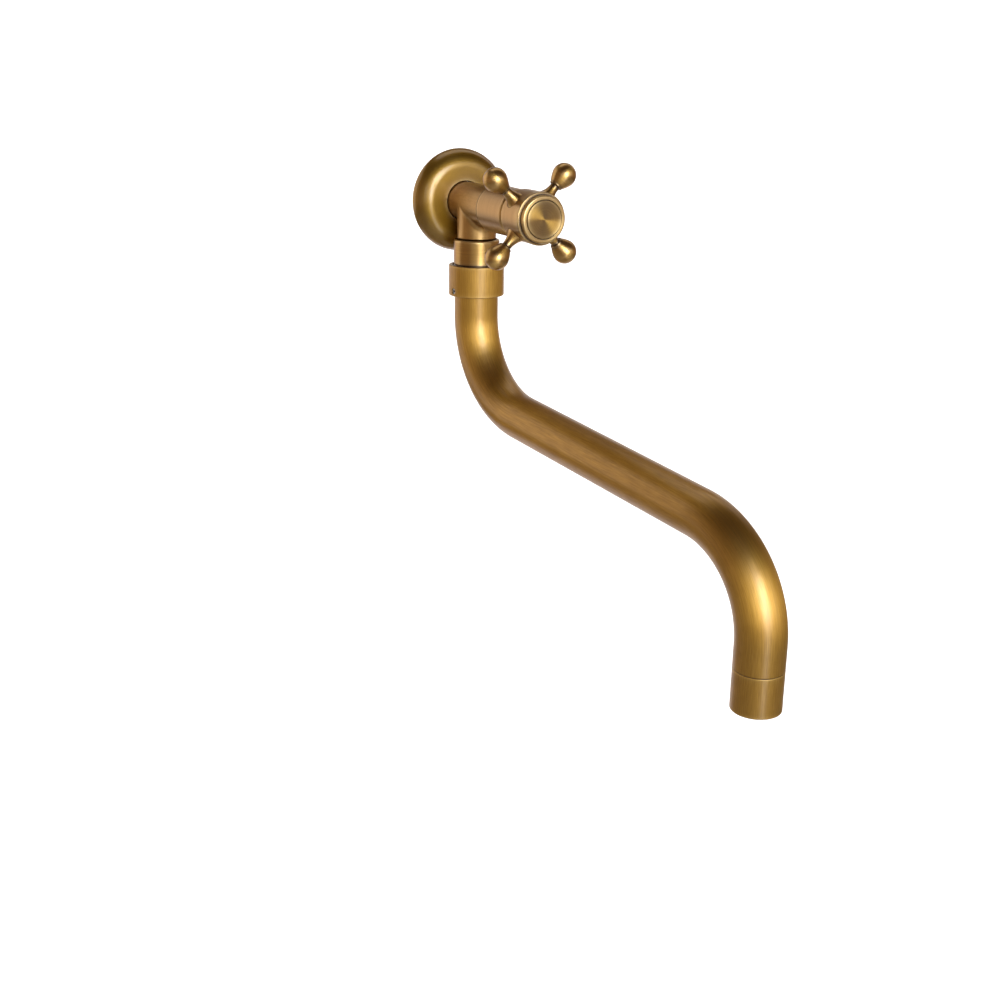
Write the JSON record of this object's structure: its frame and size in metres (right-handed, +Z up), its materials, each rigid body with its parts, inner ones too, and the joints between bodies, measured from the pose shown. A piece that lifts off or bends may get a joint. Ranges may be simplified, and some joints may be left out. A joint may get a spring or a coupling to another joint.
{
  "type": "garden tap",
  "caption": "Wall-mounted cold-water tap: round wall cover, cast tee body, cross handle with teardrop arms over a ceramic-disc valve, long bent tube spout that swings sideways",
  "frame": {"origin": "On the inlet's axis, in the plane of the wall's face", "axes": "+Y runs along the inlet into the wall, +Z is up, +X is to the right of someone who faces the tap"},
  "size_m": [0.0796, 0.2833, 0.234],
  "materials": {
    "brass_brushed": "antique brushed brass under clear lacquer",
    "brass_cast": "antique brass, blasted matt and lightly brushed",
    "brass_plain": "machined, untreated",
    "rubber": "smooth moulded",
    "nylon": "moulded",
    "ceramic": "lapped flat",
    "steel": "stainless, plain",
    "fibre": "pressed vulcanised fibre"
  },
  "bodies": {
    "tap_body": {"escutcheon": "brass_brushed", "tee_body": "brass_cast", "outlet_union": "brass_brushed", "union_washer": "fibre", "swivel_seal_upper": "rubber", "swivel_seal_lower": "rubber", "slip_ring": "nylon", "bonnet": "brass_cast", "cartridge_housing": "brass_plain", "cartridge_gasket": "fibre", "seat_seal": "rubber", "fixed_disc": "ceramic"},
    "handle": {"moving_disc": "ceramic", "spindle": "brass_plain", "spindle_seals": "rubber", "retaining_clip": "steel", "handle_hub": "brass_cast", "arm_upper_right": "brass_brushed", "arm_upper_left": "brass_brushed", "arm_lower_left": "brass_brushed", "arm_lower_right": "brass_brushed", "handle_bezel": "brass_brushed", "handle_cap": "brass_brushed", "handle_screw": "steel", "screw_washer": "steel"},
    "spout": {"spout_tube": "brass_brushed", "spout_collar": "brass_brushed", "grub_screw": "steel", "spout_nipple": "brass_plain", "aerator_sleeve": "brass_brushed", "aerator_washer": "rubber", "aerator_insert": "nylon", "aerator_screen": "steel"}
  },
  "joints": [
    {"name": "spout_swivel", "type": "hinge", "parent": "tap_body", "child": "spout", "pos_m": [0, -0.024, 0], "axis": [0, 0, 1], "range_deg": [-100, 80]},
    {"name": "handle_turn", "type": "hinge", "parent": "tap_body", "child": "handle", "pos_m": [0, -0.08, 0], "axis": [0, -1, 0], "range_deg": [0, 90]}
  ]
}
